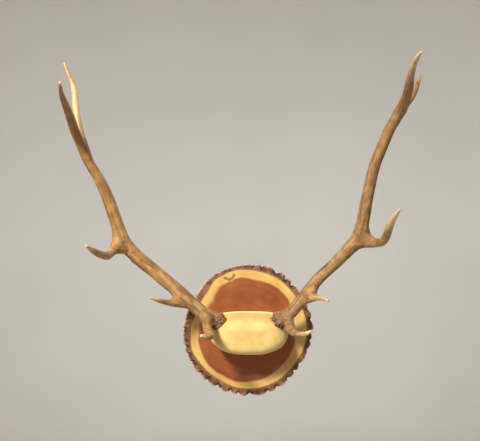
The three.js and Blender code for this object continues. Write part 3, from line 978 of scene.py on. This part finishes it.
def bark_colour(look, bark, bark_noise):
    """The bark: brown where it is cut, weathered on its side, pale on its rim, partly weathered bark and
    partly a painted highlight, and painted shade in its furrows.
    """
    chunk = look.attribute("chunk")
    tone = look.plus(look.times(bark_noise, 0.6), look.times(chunk, 0.4))
    cut_bark = look.ramp(tone, [
        (0.34, (0.10, 0.038, 0.020)),
        (0.48, (0.20, 0.085, 0.045)),
        (0.62, (0.33, 0.155, 0.085)),
    ])
    weathered = look.ramp(tone, [
        (0.34, (0.16, 0.085, 0.060)),
        (0.48, (0.36, 0.225, 0.165)),
        (0.64, (0.58, 0.42, 0.34)),
    ])
    colour = look.mix(look.spread(bark, 0.60, 0.74), cut_bark, weathered)
    inner = look.spread(bark, 0.50, 0.36)
    colour = look.mix(look.times(inner, 0.6), colour, (0.34, 0.17, 0.065))
    # A pale rim on the bark's cut edge: partly weathered outer bark and partly a painted highlight.
    rim_and_highlight = look.times(look.spread(bark, 0.65, 0.72), look.spread(bark, 0.95, 0.82))
    rim_and_highlight = look.times(rim_and_highlight, look.spread(bark_noise, 0.36, 0.50))
    colour = look.mix(look.times(rim_and_highlight, 0.9), colour, (0.76, 0.56, 0.46))
    # Painted shade: near-black brown in the furrows between the lumps, weaker on the bark's side.
    broken = look.plus(look.attribute("furrow"), look.times(look.plus(chunk, -0.5), 0.35))
    shade = look.times(look.spread(broken, 0.20, 0.55), look.spread(bark, 0.46, 0.62), clamp=True)
    shade = look.times(shade, look.spread(bark, 0.80, 1.0, 1.0, 0.6))
    return look.mix(look.times(shade, 0.92), colour, (0.030, 0.013, 0.008))


def wood_look():
    look = Look("log_slice_wood_and_bark")
    place = look.place()
    bark = look.attribute("bark")
    bark_noise = look.noise(place, 120, 5, 0.65)
    face, ring_tone = face_colour(look, place)
    colour = look.mix(look.spread(bark, 0.2, 0.34), face, bark_colour(look, bark, bark_noise))
    roughness = look.spread(bark, 0.15, 0.4, 0.42, 0.9)
    grain = look.plus(look.times(ring_tone, 0.25), look.times(bark_noise, bark))
    return look.finish(colour, roughness, grain, 0.5, 0.0015)


def cover_look():
    look = Look("skull_cover_hide_leather")
    place = look.place()
    blotch = look.noise(place, 22, 4, 0.55)
    grain = look.noise(place, 520, 4, 0.6)
    crease = look.attribute("crease")
    tone = look.plus(look.times(blotch, 0.75), look.times(crease, 0.25))
    base = look.ramp(tone, [
        (0.35, (0.77, 0.525, 0.185)),
        (0.50, (0.84, 0.605, 0.232)),
        (0.64, (0.88, 0.665, 0.285)),
    ])
    colour = look.mix(look.spread(grain, 0.55, 0.35, 0, 0.15), base, (0.62, 0.45, 0.16))
    # Painted highlight: a pale colour on the lip's rolled edge.
    colour = look.mix(look.times(look.attribute("lip"), 0.7), colour, (0.92, 0.78, 0.47))
    pores = look.node("ShaderNodeTexVoronoi", {"Vector": place, "Scale": 420.0}, feature="DISTANCE_TO_EDGE")
    pebbles = look.times(pores.outputs["Distance"], 0.6)
    bump = look.plus(look.times(grain, 0.6), pebbles)
    look.shader.inputs["Sheen Weight"].default_value = 0.08
    look.shader.inputs["Sheen Roughness"].default_value = 0.5
    roughness = look.spread(blotch, 0.35, 0.65, 0.58, 0.70)
    return look.finish(colour, roughness, bump, 0.25, 0.0006)


def stage_look():
    look = Look("pale_floor")
    tone = look.noise(look.place(), 0.6, 2, 0.5)
    colour = look.ramp(tone, [(0.3, (0.80, 0.79, 0.77)), (0.7, (0.84, 0.83, 0.81))])
    return look.finish(colour, 0.9, tone, 0.02, 0.001)


# Stage, light and camera

MOUNT_MIDDLE = (0.0, -0.12, 0.28)
ROOM_LIGHT = (0.30, 0.262, 0.215, 1)
FLOOR_HEIGHT = -2.3
FLOOR_RADIUS = 6.5
FLOOR_SIDES = 96
WALL_CURVE = 2.5


def floor():
    """A wide pale dish: a flat floor that curves up all round, far outside every view's camera."""
    turns = 2 * math.pi * np.arange(FLOOR_SIDES) / FLOOR_SIDES
    ring = np.column_stack([np.cos(turns), np.sin(turns), 0 * turns])
    profile = [(share * FLOOR_RADIUS, FLOOR_HEIGHT) for share in (0.02, 0.25, 0.5, 0.75, 1)]
    for bend in np.linspace(0, math.pi / 2, 14)[1:]:
        profile.append((
            FLOOR_RADIUS + WALL_CURVE * math.sin(bend),
            FLOOR_HEIGHT + WALL_CURVE * (1 - math.cos(bend)),
        ))
    profile += [(FLOOR_RADIUS + WALL_CURVE, FLOOR_HEIGHT + height) for height in (4.0, 6.0)]
    points = np.concatenate([ring * reach + np.array([0, 0, height]) for reach, height in profile])
    faces = ring_faces(len(profile), FLOOR_SIDES, closed_end=False)
    made = make_object("pale_floor", points, faces)
    made.data.materials.append(stage_look())


def aimed(name, data, place, target):
    """A light or camera that looks at a target."""
    made = bpy.data.objects.new(name, data)
    made.location = place
    direction = Vector(target) - Vector(place)
    made.rotation_euler = direction.to_track_quat("-Z", "Y").to_euler()
    bpy.context.scene.collection.objects.link(made)
    return made


def softbox(name, place, target, size, power, colour):
    """A square light that the camera doesn't see."""
    data = bpy.data.lights.new(name, "AREA")
    data.size = size
    data.energy = power
    data.color = colour
    aimed(name, data, place, target).visible_camera = False


def light_and_camera():
    softbox("key", (-1.10, -2.0, 1.70), MOUNT_MIDDLE, size=0.40, power=98, colour=(1.0, 0.92, 0.78))
    softbox("back_fill", (1.8, 2.6, 1.6), MOUNT_MIDDLE, size=2.0, power=40, colour=(1.0, 0.97, 0.93))
    softbox(
        "backdrop_light", (0.0, 3.2, -1.2), (0.0, 9.0, 0.4), size=2.5, power=120, colour=(0.97, 0.98, 1.0))
    world = bpy.data.worlds.new("pale_room")
    world.use_nodes = True
    background = world.node_tree.nodes["Background"]
    background.inputs["Color"].default_value = ROOM_LIGHT
    background.inputs["Strength"].default_value = 1.0
    scene = bpy.context.scene
    scene.world = world
    scene.view_settings.view_transform = "Standard"
    data = bpy.data.cameras.new("camera")
    distance = CAMERA_TARGET[1] - CAMERA_PLACE[1]
    data.sensor_width = SENSOR_WIDTH * 1000
    data.lens = data.sensor_width * distance / VIEW_WIDTH_AT_WALL
    data.clip_start = 0.05
    data.clip_end = 40
    scene.camera = aimed("camera", data, CAMERA_PLACE, CAMERA_TARGET)


light_and_camera()
floor()
for side in ANTLERS:
    antler_mesh(side).data.materials.append(antler_look(side))
log_slice().data.materials.append(wood_look())
skull_cover().data.materials.append(cover_look())
